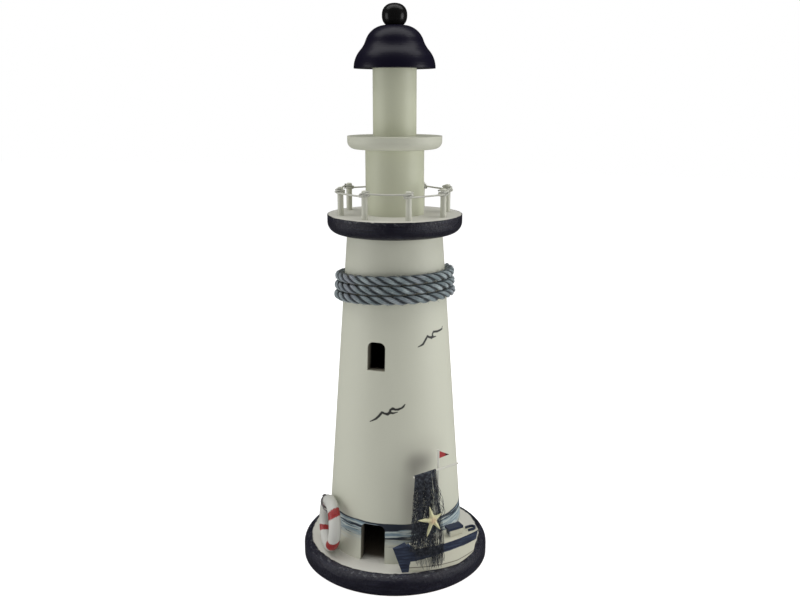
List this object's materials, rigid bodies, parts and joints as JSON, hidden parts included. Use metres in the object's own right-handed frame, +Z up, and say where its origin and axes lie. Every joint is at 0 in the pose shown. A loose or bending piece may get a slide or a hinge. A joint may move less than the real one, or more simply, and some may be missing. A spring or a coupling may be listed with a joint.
{
  "type": "lighthouse ornament",
  "caption": "Painted wooden lighthouse ornament with a rope winding, a railed gallery, a life ring and a small boat with a net and starfish at its foot.",
  "frame": {"origin": "centre of the underside of the base disc, on the surface that the ornament stands on", "axes": "+Z up the tower's axis, -Y toward the doorway and window side, +X to the right of someone who faces the doorway"},
  "size_m": [0.1672, 0.167, 0.4805],
  "materials": {
    "base_white": "satin off-white paint on top with a near-black navy brushed edge, gloss varnish, worn in places",
    "tower_white": "satin off-white paint with a brushed blue sea band at the foot and two painted gulls",
    "lantern_white": "satin off-white paint",
    "post_white": "satin off-white paint over dowel",
    "navy_edge": "satin off-white paint on top, near-black navy gloss edge with brush marks",
    "cap_gloss": "near-black navy gloss lacquer",
    "ball_gloss": "black gloss lacquer",
    "bare_wood": "bare turned dowel",
    "ring_white": "cream white gloss paint with red painted bands",
    "boat_hull": "cream paint, navy bow and navy band under the deck edge",
    "boat_navy": "dark navy satin paint",
    "cabin_cream": "cream paint",
    "mast_white": "white paint on a thin stick",
    "screw_brass": "plain brassed steel screw",
    "rail_string": "off-white painted string",
    "rope_blue": "three-strand twisted blue-grey cotton rope",
    "ring_string": "thin grey string",
    "net_navy": "fine dark navy netting in crumpled layers",
    "pennant_red": "stiff red felt",
    "starfish_cream": "dried starfish, cream with an orange-pink middle, rough"
  },
  "bodies": {
    "root": {"base_disc": "base_white", "tower_shell": "tower_white", "gallery_disc": "navy_edge", "drum_lower": "lantern_white", "upper_disc": "lantern_white", "drum_upper": "lantern_white", "cap_dome": "cap_gloss", "finial_ball": "ball_gloss", "finial_peg": "bare_wood", "spine_dowel": "bare_wood", "base_screw_1": "screw_brass", "base_screw_2": "screw_brass", "base_screw_3": "screw_brass", "base_screw_4": "screw_brass", "gallery_post_1": "post_white", "gallery_post_2": "post_white", "gallery_post_3": "post_white", "gallery_post_4": "post_white", "gallery_post_5": "post_white", "gallery_post_6": "post_white", "gallery_post_7": "post_white", "gallery_post_8": "post_white", "rail_cord": "rail_string", "rope_winding": "rope_blue", "life_ring": "ring_white", "ring_cord": "ring_string", "boat_hull": "boat_hull", "boat_cabin": "cabin_cream", "cabin_roof": "boat_navy", "stern_rail": "boat_navy", "boat_mast": "mast_white", "boat_yard": "mast_white", "boat_pennant": "pennant_red", "fishing_net": "net_navy", "starfish": "starfish_cream"}
  },
  "joints": []
}
